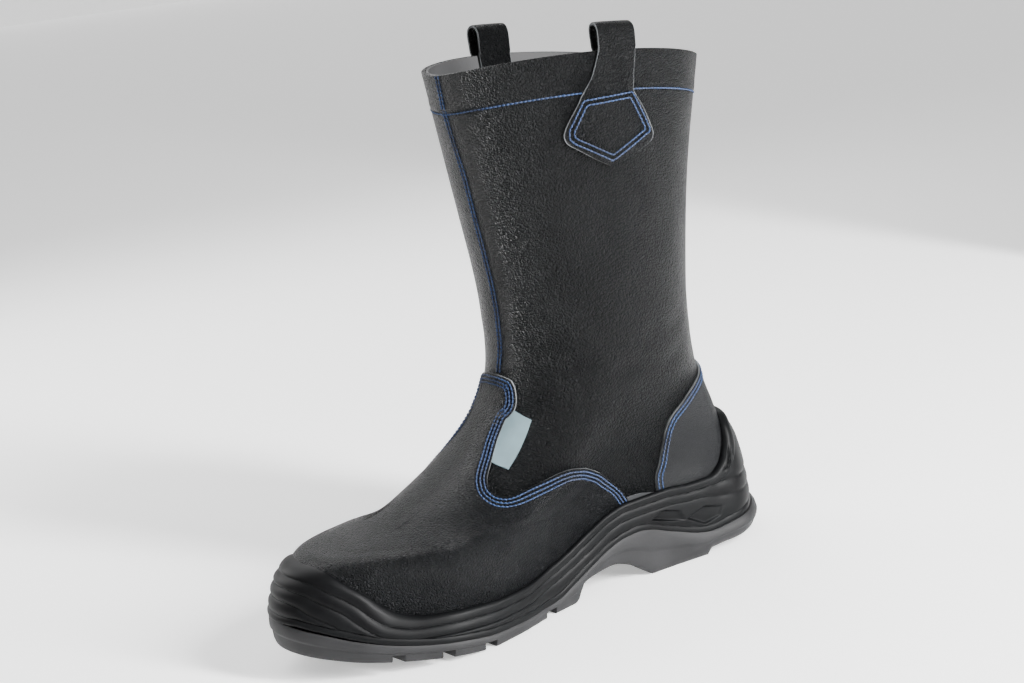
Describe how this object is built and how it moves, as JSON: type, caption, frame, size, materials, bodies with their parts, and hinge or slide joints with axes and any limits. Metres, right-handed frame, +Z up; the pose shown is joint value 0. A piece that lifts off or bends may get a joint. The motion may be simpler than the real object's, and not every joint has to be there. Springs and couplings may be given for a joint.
{
  "type": "safety boot",
  "caption": "Pull-on leather safety boot for the left foot: tall shaft with pull loops, vamp and heel counter overlays, wrap-up midsole with toe bumper, lugged outsole.",
  "frame": {"origin": "on the floor, under the middle of the boot's bounding box", "axes": "+X to the toe, +Y to the boot's outer side (the wearer's left), +Z up out of the collar"},
  "size_m": [0.3172, 0.1264, 0.3237],
  "materials": {
    "outsole": "matte mid grey polyurethane",
    "midsole": "satin black polyurethane",
    "shaft_leather": "semi-gloss black, pebble grain",
    "overlay_leather": "semi-gloss black, pebble grain, blue seams",
    "strap_leather": "semi-gloss black with raw grey edges",
    "facing": "matte dark grey",
    "insole": "matte dark grey cloth",
    "tab": "matte grey-blue woven"
  },
  "bodies": {
    "root": {"outsole": "outsole", "midsole": "midsole", "upper": "shaft_leather", "vamp": "overlay_leather", "heel_counter": "overlay_leather", "insole": "insole", "collar_facing": "facing", "pull_loop_outer": "strap_leather", "pull_loop_inner": "strap_leather", "side_tab": "tab"}
  },
  "joints": []
}
